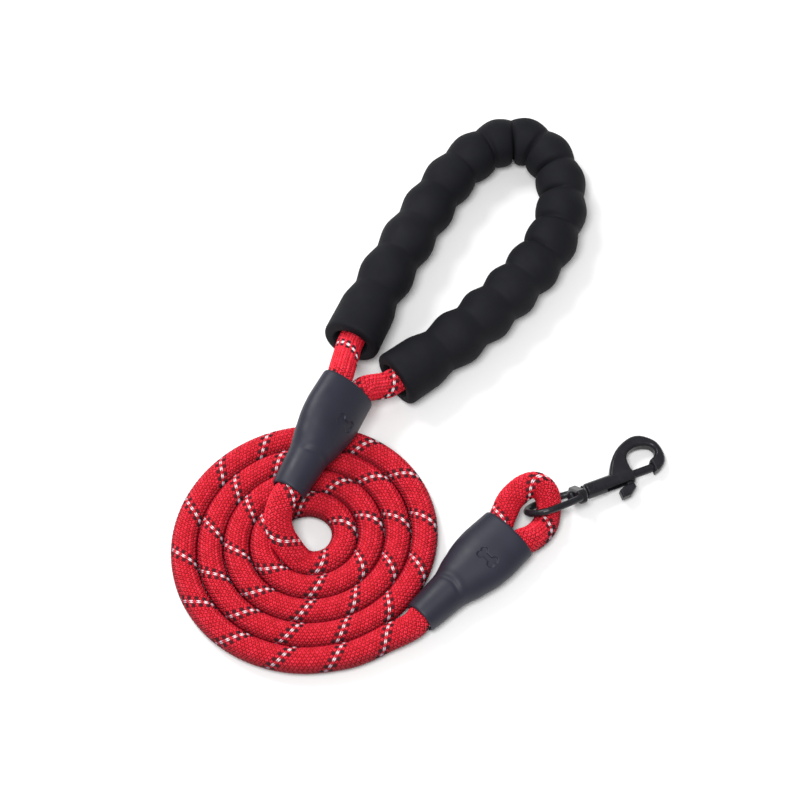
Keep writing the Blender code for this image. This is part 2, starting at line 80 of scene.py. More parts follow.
# ---- rope and its route -------------------------------------------------------------------------
# The route's points, the bulges' stations and the coil's spiral repeat the CAD model's values.
ROPE_R = 6.35
SLEEVE_LENGTH = 58.0
LEG_OFFSET = 6.5
CORD_START = 1.5
HANDLE_NECK, HANDLE_MOUTH = (-83.9, -69.9, 24.7), (-56.9, -18.9, 26.6)
HANDLE_ROLL = math.radians(41.0)
SNAP_NECK, SNAP_MOUTH = (-24.0, -125.4, 8.3), (17.0, -84.5, 9.7)
GRIP_ROUTE = (
    (-56.3, 8.3, 19.0), (-50.6, 21.8, 17.2), (-44.1, 36.6, 16.0), (-30.5, 63.5, 14.6),
    (-15.7, 89.6, 13.8), (-7.3, 102.0, 13.4), (2.8, 113.1, 12.8), (13.6, 120.2, 12.4),
    (23.0, 122.4, 12.2), (31.6, 119.7, 12.2), (40.3, 110.8, 12.3), (44.8, 96.5, 12.5),
    (44.2, 81.1, 13.0), (39.7, 66.9, 13.4), (32.1, 54.0, 13.6), (12.6, 31.2, 13.7),
    (-9.5, 10.9, 13.9), (-35.5, -9.0, 14.3))
LEFT_LEG = ((-59.4, -7.5, 26.8), (-57.9, 0.5, 22.6))
RIGHT_LEG = ((-42.2, -12.8, 16.4), (-49.0, -16.3, 20.8))
GRIP_BULGES = (              # crests, as lengths along the grip's route from its left end
    41.7, 63.8, 84.0, 102.8, 120.7, 136.0, 148.7, 162.6, 178.5, 195.0, 212.5, 229.3, 246.0, 263.3, 281.5)
GRIP_FLARES = (20.0, 15.0)
SNAP_LOOP = (
    (14.3, -75.3, 9.8), (17.3, -68.9, 10.8), (21.8, -64.3, 11.8), (25.4, -62.1, 12.2),
    (28.6, -61.3, 12.2), (31.5, -62.2, 11.7), (33.7, -64.3, 10.8), (35.0, -67.2, 9.6),
    (35.3, -70.6, 8.4), (35.0, -74.0, 7.4), (34.1, -77.5, 6.7), (32.0, -81.2, 6.5),
    (29.2, -84.4, 7.4), (26.0, -87.0, 8.8))
HELD_ROPE_R = 6.2            # the looks only, like the dent under the ring
RING_BEARS_AT = (35.2, -72.0, 8.0)
RING_DENT, RING_DENT_REACH = 0.45, 7.0    # the ring presses the rope in
LEAD_IN = (
    (-86.2, -74.4, 24.5), (-88.1, -79.2, 22.6), (-88.2, -84.0, 19.4), (-86.6, -88.6, 15.8),
    (-83.5, -92.4, 12.2))
LEAD_IN_TURNS = ((232.0, 9.3), (250.0, 7.3), (268.0, 6.4))
LEAD_OUT_TURNS = ((1735.0, 6.4), (1745.0, 6.7))
LEAD_OUT_BEND = (-28.2, -129.6, 7.9)
COIL_CENTRE, COIL_DRIFT = np.array((-74.0, -86.1, 0.0)), np.array((0.09, -0.33, 0.0))
COIL_START_R, COIL_START, COIL_PITCH = 10.05, 195.0, 11.7
COIL_OVAL, COIL_OVAL_AT = 0.52, 22.0
COIL_FROM, COIL_TO, COIL_STEP = 283.0, 1725.0, 15.0
TURN = 360.0
COIL_SQUASH = 0.955          # the turns press each other narrower
SQUASH_FROM, SQUASH_UNTIL, SQUASH_RAMP = 45.0, 12.0, 25.0   # from the start, from the end, and the ease
SLEEVE_MAIN = (              # station and offset of the held rope's main part inside a sleeve
    (2.2, 0.0), (8.0, 0.0), (14.0, 0.2), (20.0, 1.5), (25.0, 3.4), (30.0, 4.9), (35.0, 6.0),
    (40.0, LEG_OFFSET), (46.0, LEG_OFFSET), (52.0, LEG_OFFSET), (SLEEVE_LENGTH, LEG_OFFSET))
SLEEVE_TAIL = ((SLEEVE_LENGTH, LEG_OFFSET), (52.0, LEG_OFFSET), (46.0, LEG_OFFSET), (40.5, LEG_OFFSET))
ROUTE_STEP = 0.7

# ---- braid --------------------------------------------------------------------------------------
RED, WHITE, BLACK, GAP_SHADE, DEEP_RED, BRIGHT_RED = range(6)      # material slots
COLUMNS = 24                 # columns of stitches round the rope, leaning to alternate sides
STRANDS = 12                 # strands that wind each way, two yarns in each
LAY = 23.35                  # a strand's length of rope for one turn
LAY_SPREAD = 0.035           # the free rope's lay is this much tighter at its start, looser at its end
STITCH_RISE = 0.72           # height of a yarn above its edges
YARN_HALF_WIDTH, YARN_OFFSET = 0.36, 0.38
STITCH_REACH = 1.12          # a stitch dives under its neighbours at both ends
TRACER = {0: BLACK, 1: WHITE, 2: BLACK}   # strand: material slot
TRACER_REACH = np.array((1.0, 1.34, 1.36))   # times STITCH_REACH, for a red, white and black stitch
RED_TINTS = (RED, DEEP_RED, RED, BRIGHT_RED)
LEAF = ((-1.0, 0.0, 0.35), (0.0, -1.0, 0.0), (0.0, 1.0, 0.0), (1.0, 0.0, 0.35), (-0.5, 0.0, 1.0),
        (0.5, 0.0, 1.0))     # a yarn between two crossings: place along, place across, height
PAIR_RISE = 0.35             # height of a yarn's edge against its twin
LEAF_FACES = ((0, 1, 4), (1, 5, 4), (1, 3, 5), (0, 4, 2), (2, 4, 5), (2, 5, 3))
CORE_ROW, CORE_SIDES = 2.4, 16
CORE_SINK = 0.85             # how far the core lies below the stitches' tops, in stitch rises
END_MARGIN = 0.4             # no stitch has its middle nearer the route's ends
FREE_PHASE = -6.5            # where each rope's tracer starts
HAND_LAY, HAND_PHASE = 23.43, -1.8
SNAP_PHASE = 4.0

# ---- sleeves, grip and snap -----------------------------------------------------------------------
# The sleeves' tables, the snap's place and the spring repeat the CAD model's values. The grip's crests
# are 0.1 higher here, and its valleys 0.1 lower.
SLEEVE_OUTSIDE = (           # station, half width, half thickness
    (0, 7.6, 7.6), (0.6, 8, 8), (10, 8.9, 8.35), (19, 9.7, 8.65), (22, 10.6, 8.8), (26, 12, 8.9),
    (30, 12.95, 9), (34, 14, 9.1), (39, 14.75, 9.2), (44, 15.05, 9.2), (51, 14.8, 9.1),
    (57.3, 14.5, 9), (58, 14, 8.5))
SLEEVE_INSIDE = (
    (58, 13.6, 7.3), (57.2, 13.3, 6.95), (40, 13.3, 6.95), (35, 12.8, 6.9), (30, 11.7, 6.85),
    (25, 10.4, 6.8), (20, 8.6, 6.75), (14, 7.2, 6.7), (0.6, 6.65, 6.65), (0, 6.9, 6.9))
SHOULDER_AT, SHOULDER_BOW, SHOULDER_BOW_AT = 20.5, 2.6, 8.0
FOLD_DEPTH, FOLD_WIDTH = 0.42, 1.0
LIP_HEIGHT, LIP_WIDTH, LIP_AHEAD = 0.22, 1.6, 2.4
SEAM_HEIGHT, SEAM_WIDTH = 0.03, 0.35
BONE_AT, BONE_ACROSS = 40.0, 3.4
BONE_HALF, BONE_KNOB, BONE_DEPTH = 3.2, 1.6, 0.6
GRIP_END_R, GRIP_BULGE_R, GRIP_BEND_R = 13.6, 13.4, 11.8
GRIP_VALLEY_R, GRIP_BEND_VALLEY_R = 11.2, 10.0
GRIP_BEND_AT, GRIP_BEND_REACH = 145.0, 76.0
GRIP_BORE_R, GRIP_BORE_MOUTH_R = 7.2, 8.4
GRIP_RIM = ((0.0, 2.2), (0.15, 1.3), (0.55, 0.6), (1.2, 0.18), (2.2, 0.0))   # distance in, cut
PINCH_AT, PINCH_REACH, PINCH_DEPTH = 172.0, 58.0, 2.0   # folds between bulges round the bend
CREASE_WIDTH = 0.07          # in bulge lengths
BOW_REACH = 12.0             # the bend's direction is read this far each way
SNAP_ORIGIN = (34.96, -70.3, 9.0)
SNAP_HEADING, SNAP_DIP = math.radians(23.7), math.radians(5.5)
SPRING_FROM, SPRING_TO, SPRING_R, SPRING_WIRE_R, SPRING_TURNS = 22.9, 35.7, 1.75, 0.25, 6


def smooth(points, steps=12):
    """A Catmull-Rom curve through the points."""
    p = np.asarray(points, float)
    p = np.vstack([2 * p[0] - p[1], p, 2 * p[-1] - p[-2]])
    t = (np.arange(steps) / steps)[:, None]
    spans = [0.5 * (2 * b + (c - a) * t + (2 * a - 5 * b + 4 * c - d) * t ** 2
                    + (3 * b - a - 3 * c + d) * t ** 3)
             for a, b, c, d in zip(p, p[1:], p[2:], p[3:])]
    return np.vstack(spans + [p[-2:-1]])


def unit(v):
    return v / np.linalg.norm(v, axis=-1, keepdims=True)


class Route:
    """A curve with its length, and side vectors carried along it without twist."""

    def __init__(self, points, step=1.0):
        rough = smooth(points)
        run = np.r_[0, np.cumsum(np.linalg.norm(np.diff(rough, axis=0), axis=1))]
        count = max(8, int(round(run[-1] / step)))
        even = np.linspace(0, run[-1], count + 1)
        self.points = np.stack([np.interp(even, run, rough[:, k]) for k in range(3)], 1)
        self.run = np.r_[0, np.cumsum(np.linalg.norm(np.diff(self.points, axis=0), axis=1))]
        self.length = self.run[-1]
        self.along = unit(np.gradient(self.points, axis=0))
        side = unit(np.cross(self.along[0], UP))
        sides = [side]
        for a in self.along[1:]:
            side = unit(side - a * side.dot(a))
            sides.append(side)
        self.side = np.array(sides)
        self.level = unit(np.cross(self.along, UP))

    def at(self, run):
        """Centre, side, third vector and level side vector at distances along the route."""
        def read(table):
            return np.stack([np.interp(run, self.run, table[:, k]) for k in range(3)], -1)
        along, side = unit(read(self.along)), unit(read(self.side))
        return read(self.points), side, np.cross(along, side), unit(read(self.level))

    def skin(self, run, angle, radius, narrow=1.0):
        """Points at a run, an angle and a radius round the route, narrowed across the level side."""
        centre, side, third, level = self.at(run)
        out = radius[..., None] * (np.cos(angle)[..., None] * side + np.sin(angle)[..., None] * third)
        sideways = (out * level).sum(-1, keepdims=True)
        return centre + out + (narrow - 1.0) * sideways * level


def sleeve_frame(neck, mouth, roll):
    """Origin at the neck end, z towards the mouth, x across both rope legs to the right."""
    neck, mouth = Vector(neck), Vector(mouth)
    along = (mouth - neck).normalized()
    level = along.cross(Vector((0, 0, 1))).normalized()
    across = Matrix.Rotation(roll, 3, along) @ level
    up = along.cross(across)
    return Matrix.Translation(neck) @ Matrix((across, up, along)).transposed().to_4x4()


def in_frame(matrix, points):
    m = np.array(matrix)
    return np.asarray(points, float) @ m[:3, :3].T + m[:3, 3]


def spiral_point(degrees, height=ROPE_R):
    turns = (degrees - COIL_START) / TURN
    oval = COIL_OVAL * turns * math.cos(2 * math.radians(degrees - COIL_OVAL_AT))
    radius = COIL_START_R + COIL_PITCH * turns + oval
    angle = math.radians(degrees)
    return COIL_CENTRE + COIL_DRIFT * turns + np.array(
        (radius * math.cos(angle), radius * math.sin(angle), height))


HANDLE = sleeve_frame(HANDLE_NECK, HANDLE_MOUTH, HANDLE_ROLL)
FLAT = sleeve_frame(SNAP_NECK, SNAP_MOUTH, 0.0)


def free_route():
    """The free rope: from inside the handle sleeve's neck, round the coil, into the snap sleeve's."""
    points = [in_frame(HANDLE, (0, 0, CORD_START)), HANDLE_NECK]
    points += list(LEAD_IN)
    points += [spiral_point(a, h) for a, h in LEAD_IN_TURNS]
    points += [spiral_point(a) for a in np.arange(COIL_FROM, COIL_TO - COIL_STEP / 2, COIL_STEP)]
    points += [spiral_point(COIL_TO)]
    points += [spiral_point(a, h) for a, h in LEAD_OUT_TURNS]
    points += [LEAD_OUT_BEND, SNAP_NECK, in_frame(FLAT, (0, 0, CORD_START))]
    return Route(points, ROUTE_STEP)


# ---- materials ----------------------------------------------------------------------------------

class Finish:
    """A Principled material with a few helpers for its nodes."""

    def __init__(self, name, colour, roughness, **values):
        self.material = bpy.data.materials.new(name)
        self.material.use_nodes = True
        self.tree = self.material.node_tree
        self.shader = self.tree.nodes["Principled BSDF"]
        self.set("Base Color", (*colour, 1.0))
        self.set("Roughness", roughness)
        for key, value in values.items():
            self.set(key.replace("_", " ").title().replace("Ior", "IOR"), value)
        self.height = None

    def set(self, socket, value):
        self.shader.inputs[socket].default_value = value

    def node(self, kind, **values):
        made = self.tree.nodes.new(kind)
        for key, value in values.items():
            setattr(made, key, value)
        return made

    def noise(self, scale, detail=3.0, roughness=0.6, stretch=None):
        """Noise over the object's own metres."""
        where = self.node("ShaderNodeTexCoord").outputs["Object"]
        if stretch:
            mapping = self.node("ShaderNodeMapping")
            mapping.inputs["Scale"].default_value = stretch
            self.tree.links.new(where, mapping.inputs["Vector"])
            where = mapping.outputs["Vector"]
        made = self.node("ShaderNodeTexNoise")
        self.tree.links.new(where, made.inputs["Vector"])
        made.inputs["Scale"].default_value = scale
        made.inputs["Detail"].default_value = detail
        made.inputs["Roughness"].default_value = roughness
        return made.outputs["Fac"]

    def ramp(self, value, *stops):
        """Colour or grey stops over a value."""
        made = self.node("ShaderNodeValToRGB")
        self.tree.links.new(value, made.inputs["Fac"])
        ramp = made.color_ramp
        while len(ramp.elements) < len(stops):
            ramp.elements.new(0.5)
        for element, (place, colour) in zip(ramp.elements, stops):
            element.position = place
            element.color = (*colour, 1.0)
        return made.outputs["Color"]

    def height_share(self):
        """Height above the floor in rope diameters."""
        split = self.node("ShaderNodeSeparateXYZ")
        self.tree.links.new(self.node("ShaderNodeTexCoord").outputs["Object"], split.inputs[0])
        share = self.node("ShaderNodeMath", operation="DIVIDE")
        share.inputs[1].default_value = 2 * ROPE_R * MM
        self.tree.links.new(split.outputs["Z"], share.inputs[0])
        return share.outputs[0]

    def times(self, colour, factor):
        made = self.node("ShaderNodeMix", data_type="RGBA", blend_type="MULTIPLY")
        made.inputs["Factor"].default_value = 1.0
        self.tree.links.new(colour, made.inputs["A"])
        self.tree.links.new(factor, made.inputs["B"])
        return made.outputs["Result"]

    def drive(self, value, socket):
        self.tree.links.new(value, self.shader.inputs[socket])

    def bump(self, value, distance, strength=1.0):
        """Bumps add up: each feeds the next one's normal."""
        made = self.node("ShaderNodeBump")
        made.inputs["Distance"].default_value = distance * MM
        made.inputs["Strength"].default_value = strength
        self.tree.links.new(value, made.inputs["Height"])
        if self.height is not None:
            self.tree.links.new(self.height, made.inputs["Normal"])
        self.height = made.outputs["Normal"]
        self.tree.links.new(self.height, self.shader.inputs["Normal"])


def grey(level):
    return (level, level, level)


# Painted shade: rope is darkened low on its sides, by height above the floor, where the coil's turns
# touch and shade each other.
PAINTED_LOW_SHADE = ((0.48, (0.30, 0.22, 0.30)), (0.74, (0.62, 0.58, 0.66)), (0.92, (1.0, 1.0, 1.0)))


def yarn(name, dark, light, roughness=0.5):
    """Twisted filament yarn: fine ribs along each stitch, a slow drift of colour, and painted shade low
    on the rope's sides.
    """
    made = Finish(name, light, roughness, specular_ior_level=0.35)
    colour = made.ramp(made.noise(260.0, 2.0), (0.32, dark), (0.68, light))
    # painted shade: the colour is darkened by height above the floor, low on the rope's sides
    made.drive(made.times(colour, made.ramp(made.height_share(), *PAINTED_LOW_SHADE)), "Base Color")
    along = made.node("ShaderNodeTexCoord").outputs["UV"]
    ribs = made.node("ShaderNodeTexWave", wave_type="BANDS", bands_direction="Y")
    ribs.inputs["Scale"].default_value = 1.6
    ribs.inputs["Distortion"].default_value = 0.6
    made.tree.links.new(along, ribs.inputs["Vector"])
    made.bump(ribs.outputs["Fac"], 0.08, 0.6)
    made.bump(made.noise(2600.0, 2.0), 0.05, 0.4)
    return made.material


def foam_finish():
    """Closed-cell foam: matt, finely pored, a little paler where hands rub it."""
    made = Finish("grip_foam_finish", (0.007, 0.007, 0.009), 0.8, specular_ior_level=0.14)
    made.drive(made.ramp(made.noise(34.0, 4.0), (0.3, (0.0055, 0.0058, 0.0085)),
                         (0.70, (0.0095, 0.0098, 0.0125)), (0.78, (0.022, 0.022, 0.024))), "Base Color")
    made.drive(made.ramp(made.noise(60.0, 3.0), (0.3, grey(0.66)), (0.7, grey(0.82))), "Roughness")
    made.bump(made.noise(1400.0, 3.0), 0.10, 0.35)
    made.bump(made.noise(320.0, 2.0), 0.10, 0.25)
    return made.material


def sleeve_finish():
    """Satin moulded plastic with a bluish cast and a fine spark-eroded grain."""
    made = Finish("sleeve_finish", (0.012, 0.013, 0.023), 0.48, specular_ior_level=0.3)
    made.drive(made.ramp(made.noise(22.0, 3.0), (0.3, (0.013, 0.014, 0.024)),
                         (0.7, (0.018, 0.019, 0.033))), "Base Color")
    made.drive(made.ramp(made.noise(90.0, 3.0), (0.3, grey(0.42)), (0.7, grey(0.54))), "Roughness")
    made.bump(made.noise(1800.0, 2.0), 0.03, 0.35)
    return made.material


def enamel_finish():
    """Black coating on a casting: semi-gloss, slightly uneven, worn paler in spots."""
    made = Finish("snap_finish", (0.004, 0.004, 0.005), 0.3, specular_ior_level=0.28)
    made.drive(made.ramp(made.noise(180.0, 4.0), (0.35, (0.008, 0.008, 0.011)),
                         (0.7, (0.013, 0.013, 0.017)), (0.82, (0.030, 0.029, 0.031))), "Base Color")
    made.drive(made.ramp(made.noise(300.0, 3.0), (0.3, grey(0.24)), (0.7, grey(0.4))), "Roughness")
    made.bump(made.noise(700.0, 2.0), 0.04, 0.3)
    return made.material


def steel_finish():
    made = Finish("steel_finish", (0.16, 0.16, 0.17), 0.34, metallic=1.0)
    made.drive(made.ramp(made.noise(500.0, 3.0), (0.3, grey(0.22)), (0.7, grey(0.4))), "Roughness")
    made.bump(made.noise(1500.0, 2.0), 0.02, 0.3)
    return made.material


def alloy_finish():
    made = Finish("alloy_finish", (0.7, 0.7, 0.71), 0.4, metallic=1.0)
    made.drive(made.ramp(made.noise(400.0, 3.0), (0.3, grey(0.32)), (0.7, grey(0.5))), "Roughness")
    made.bump(made.noise(1200.0, 2.0), 0.02, 0.3)
    return made.material


def floor_finish():
    made = Finish("floor_finish", (0.93, 0.93, 0.93), 0.6, specular_ior_level=0.2)
    made.drive(made.ramp(made.noise(3.0, 2.0), (0.3, grey(0.925)), (0.7, grey(0.935))), "Base Color")
    return made.material


# ---- meshes -------------------------------------------------------------------------------------

def piece(name, points, faces, materials, slots=None, uvs=None, sharp=None):
    """A mesh object from millimetre points."""
    mesh = bpy.data.meshes.new(name)
    mesh.from_pydata((np.asarray(points) * MM).tolist(), [], faces if isinstance(faces, list)
                     else faces.tolist())
    for m in materials:
        mesh.materials.append(m)
    if slots is not None:
        mesh.polygons.foreach_set("material_index", np.asarray(slots, np.int32))
    if uvs is not None:
        layer = mesh.uv_layers.new(name="UVMap")
        corners = np.zeros(len(mesh.loops), np.int32)
        mesh.loops.foreach_get("vertex_index", corners)
        layer.data.foreach_set("uv", uvs[corners].ravel())
    mesh.shade_smooth()
    if sharp:
        mesh.set_sharp_from_angle(angle=math.radians(sharp))
    made = bpy.data.objects.new(name, mesh)
    bpy.context.scene.collection.objects.link(made)
    return made


def grid_faces(rows, columns, wrap_rows=False):
    """Quads of a grid of points that closes on itself across its columns."""
    r = np.arange(rows if wrap_rows else rows - 1)[:, None]
    c = np.arange(columns)[None, :]
    a, b = r * columns, (r + 1) % rows * columns
    d = (c + 1) % columns
    return np.stack([a + c, a + d, b + d, b + c], -1).reshape(-1, 4)


def lofted(name, rings, materials, closed=False, sharp=40.0):
    """Skin rings of equal numbers of points; open ends are capped."""
    rings = np.asarray(rings, float)
    rows, columns = rings.shape[:2]
    faces = grid_faces(rows, columns, closed).tolist()
    if not closed:
        faces += [list(range(columns))[::-1], list(range((rows - 1) * columns, rows * columns))]
    made = piece(name, rings.reshape(-1, 3), faces, materials, sharp=sharp)
    outward(made)
    return made


def outward(made):
    bm = bmesh.new()
    bm.from_mesh(made.data)
    bmesh.ops.recalc_face_normals(bm, faces=bm.faces)
    bm.to_mesh(made.data)
    bm.free()


# ---- braided rope -------------------------------------------------------------------------------

def braid(name, route, radius, narrow, materials, lay=LAY, phase=0.0, spread=0.0):
    """A braided rope along the route: a core tube, whose dark red is painted shade deep between the
    stitches, and a raised leaf for every stitch.

    radius and narrow are functions of the run; spread tightens the lay at the start of the route.
    """
    rows = int(route.length / CORE_ROW)
    run = np.linspace(0, route.length, rows)
    angle = np.linspace(0, 2 * math.pi, CORE_SIDES, endpoint=False)
    grid_run, grid_angle = np.meshgrid(run, angle, indexing="ij")
    core_r = radius(grid_run) - CORE_SINK * STITCH_RISE
    core = route.skin(grid_run, grid_angle, core_r, narrow(grid_run)[..., None]).reshape(-1, 3)
    core_faces = grid_faces(rows, CORE_SIDES).tolist()
    core_faces += [list(range(CORE_SIDES))[::-1],
                   list(range((rows - 1) * CORE_SIDES, rows * CORE_SIDES))]

    def placed(nominal):
        return nominal + spread * nominal * (nominal - route.length) / route.length

    spacing = lay / STRANDS
    column = np.arange(COLUMNS)
    leans = np.where(column % 2 == 0, -1.0, 1.0)           # even columns wind left-handed
    count = int(route.length / spacing) + STRANDS + 2
    strand, col = np.meshgrid(np.arange(-STRANDS, count), column, indexing="ij")
    lean = leans[col]
    middle = strand * spacing + lean * col * lay / COLUMNS + phase
    middle = middle - np.where(lean > 0, lay, 0.0)
    colour = np.zeros_like(strand)
    for which, slot in TRACER.items():
        colour[(strand % STRANDS == which) & (lean < 0)] = slot
    keep = (placed(middle) > END_MARGIN) & (placed(middle) < route.length - END_MARGIN)
    strand_of, turn_of = (strand % STRANDS)[keep], (strand // STRANDS)[keep]
    middle, lean, col, colour = middle[keep], lean[keep], col[keep], colour[keep]

    reach = STITCH_REACH * TRACER_REACH[colour]
    half_angle = reach * math.pi / COLUMNS
    half_rise = reach * lay / COLUMNS / 2
    slant = math.atan2(2 * math.pi * ROPE_R, lay)
    points, uvs = [], []
    for yarn_side in (-1, 1):
        for u, v, rise in LEAF:
            aside = yarn_side * YARN_OFFSET + v * YARN_HALF_WIDTH
            at_run = placed(middle + lean * u * half_rise + aside * math.sin(slant))
            at_angle = (col * 2 * math.pi / COLUMNS + u * half_angle
                        - lean * aside * math.cos(slant) / ROPE_R)
            high = PAIR_RISE if v * yarn_side < 0 else rise
            r = radius(at_run) - STITCH_RISE * (1.0 - high)
            points.append(route.skin(at_run, at_angle, r, narrow(at_run)[..., None]))
            uvs.append(np.tile(((u + 1) / 2, (v + 1) / 2), (len(middle), 1)))
    leaf = np.stack(points, 1).reshape(-1, 3)
    leaf_uv = np.stack(uvs, 1).reshape(-1, 2)
    first = len(core) + len(LEAF) * np.arange(2 * len(middle))
    leaf_faces = (first[None, :, None] + np.array(LEAF_FACES)[:, None, :]).reshape(-1, 3)
    tint = np.choose((strand_of * 5 + turn_of * 3 + col) % len(RED_TINTS), RED_TINTS)
    shade = np.where(colour == RED, tint, colour)
    slots = np.tile(np.repeat(shade, 2), len(LEAF_FACES))
    return piece(name, np.vstack([core, leaf]), core_faces + leaf_faces.tolist(), materials,
                 np.r_[np.full(len(core_faces), GAP_SHADE), slots],
                 np.vstack([np.zeros((len(core), 2)), leaf_uv]))


def steady(value):
    return lambda run: np.full(np.shape(run), float(value))


def held_route(matrix, outside):
    """A held rope: out of one side of its sleeve, through the points outside, and back in."""
    points = [in_frame(matrix, (-x, 0, z)) for z, x in SLEEVE_MAIN]
    points += list(outside)
    points += [in_frame(matrix, (x, 0, z)) for z, x in SLEEVE_TAIL]
    return Route(points, ROUTE_STEP)


# ---- scene --------------------------------------------------------------------------------------

def add_camera():
    data = bpy.data.cameras.new("camera")
    data.sensor_width = 36.0
    data.lens = CAMERA_LENS
    made = bpy.data.objects.new("camera", data)
    made.location = CAMERA_AT
    made.rotation_euler = (CAMERA_TILT, 0, 0)
    bpy.context.scene.collection.objects.link(made)
    bpy.context.scene.camera = made


def add_light(name, at, size, power):
    data = bpy.data.lights.new(name, "AREA")
    data.shape = "DISK"
    data.size = size
    data.energy = power
    made = bpy.data.objects.new(name, data)
    made.location = at
    made.rotation_euler = (-Vector(at)).to_track_quat("-Z", "Y").to_euler()
    bpy.context.scene.collection.objects.link(made)


def add_world():
    world = bpy.data.worlds.new("studio")
    bpy.context.scene.world = world
    world.use_nodes = True
    world.node_tree.nodes["Background"].inputs["Color"].default_value = (1, 1, 1, 1)
    world.node_tree.nodes["Background"].inputs["Strength"].default_value = WORLD_LIGHT
    bpy.context.scene.view_settings.view_transform = "Standard"


def add_floor():
    corners = [(x * FLOOR_HALF, y * FLOOR_HALF, 0) for x, y in ((-1, -1), (1, -1), (1, 1), (-1, 1))]
    floor = bpy.data.meshes.new("floor")
    floor.from_pydata(corners, [], [(0, 1, 2, 3)])
    floor.materials.append(floor_finish())
    made = bpy.data.objects.new("floor", floor)
    made.location.z = cad_box[0].z - FLOOR_DROP
    bpy.context.scene.collection.objects.link(made)


def dented(route):
    """The snap loop's radius along its route, pressed in where the swivel ring bears on it."""
    at = route.run[np.argmin(np.linalg.norm(route.points - RING_BEARS_AT, axis=1))]
    return lambda run: HELD_ROPE_R - RING_DENT * np.exp(-((run - at) / RING_DENT_REACH) ** 2)


def coil_narrowing(route):
    """How narrow the free rope is along its route: pressed by its neighbours, and round at its ends."""
    def narrow(run):
        into = np.clip((run - SQUASH_FROM) / SQUASH_RAMP, 0, 1)
        out_of = np.clip((route.length - SQUASH_UNTIL - run) / SQUASH_RAMP, 0, 1)
        return 1.0 - (1.0 - COIL_SQUASH) * into * out_of
    return narrow


def rope_coats():
    """The rope's yarns, in the order of the material slots."""
    red = yarn("yarn_red", (0.78, 0.010, 0.030), (0.84, 0.015, 0.042))
    # The tracer yarn is white; its pink tint is painted reflection of red light bounced off the rope
    # around it.
    white = yarn("yarn_white", (0.80, 0.66, 0.70), (0.90, 0.80, 0.82))
    black = yarn("yarn_black", (0.016, 0.003, 0.007), (0.045, 0.007, 0.016), 0.7)
    # painted shade: the core's dark red stands for the shade deep between the stitches
    gap_shade = yarn("yarn_gap_shade", (0.20, 0.002, 0.007), (0.28, 0.003, 0.011), 0.9)
    deep = yarn("yarn_deep_red", (0.68, 0.007, 0.023), (0.75, 0.010, 0.031))
    bright = yarn("yarn_bright_red", (0.84, 0.017, 0.046), (0.90, 0.024, 0.056))
    return [red, white, black, gap_shade, deep, bright]


def add_free_rope(coats):
    free = free_route()
    rope = braid("rope", free, steady(ROPE_R), coil_narrowing(free), coats, phase=FREE_PHASE,
                 spread=LAY_SPREAD)
    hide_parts("rope_lead_in", "rope_coil", "rope_lead_out")
    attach(rope, "leash")


def add_held_ropes(coats):
    hand = held_route(HANDLE, LEFT_LEG + GRIP_ROUTE + RIGHT_LEG)
    snap = held_route(FLAT, SNAP_LOOP)
    held = [("hand_loop_rope", hand, steady(HELD_ROPE_R), "rope_handle_loop", HAND_LAY, HAND_PHASE),
            ("snap_loop_rope", snap, dented(snap), "rope_snap_loop", LAY, SNAP_PHASE)]
    for name, route, radius, node, lay, phase in held:
        made = braid(name, route, radius, steady(1.0), coats, lay, phase)
        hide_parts(node)
        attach(made, "leash")


# ---- sleeves and crimps -------------------------------------------------------------------------

def eased(table, stations):
    """Columns of a table at stations along its first column, without overshoot."""
    table = np.asarray(table, float)
    x = table[:, 0]
    slope = np.diff(table[:, 1:], axis=0) / np.diff(x)[:, None]
    tangent = np.zeros((len(x), table.shape[1] - 1))
    tangent[0], tangent[-1] = slope[0], slope[-1]
    same = slope[:-1] * slope[1:] > 0
    tangent[1:-1] = np.where(same, 2 * slope[:-1] * slope[1:] / (slope[:-1] + slope[1:] + 1e-12), 0)
    k = np.clip(np.searchsorted(x, stations, side="right") - 1, 0, len(x) - 2)
    h = (x[k + 1] - x[k])[:, None]
    t = ((stations - x[k])[:, None]) / h
    return ((1 + 2 * t) * (1 - t) ** 2 * table[k, 1:] + t * (1 - t) ** 2 * h * tangent[k]
            + t ** 2 * (3 - 2 * t) * table[k + 1, 1:] + t ** 2 * (t - 1) * h * tangent[k + 1])


def bone_depth(x, z):
    """How deep a small bone is pressed in at a point of the face."""
    x, z = np.abs(x - BONE_ACROSS), np.abs(z - BONE_AT)
    knob = np.hypot(x - BONE_HALF, z - BONE_KNOB * 0.78) - BONE_KNOB
    shaft = np.maximum(x - BONE_HALF, z - BONE_KNOB * 0.72)
    inside = -np.minimum(knob, shaft)
    return BONE_DEPTH * np.clip(inside / 0.3 + 0.5, 0, 1)


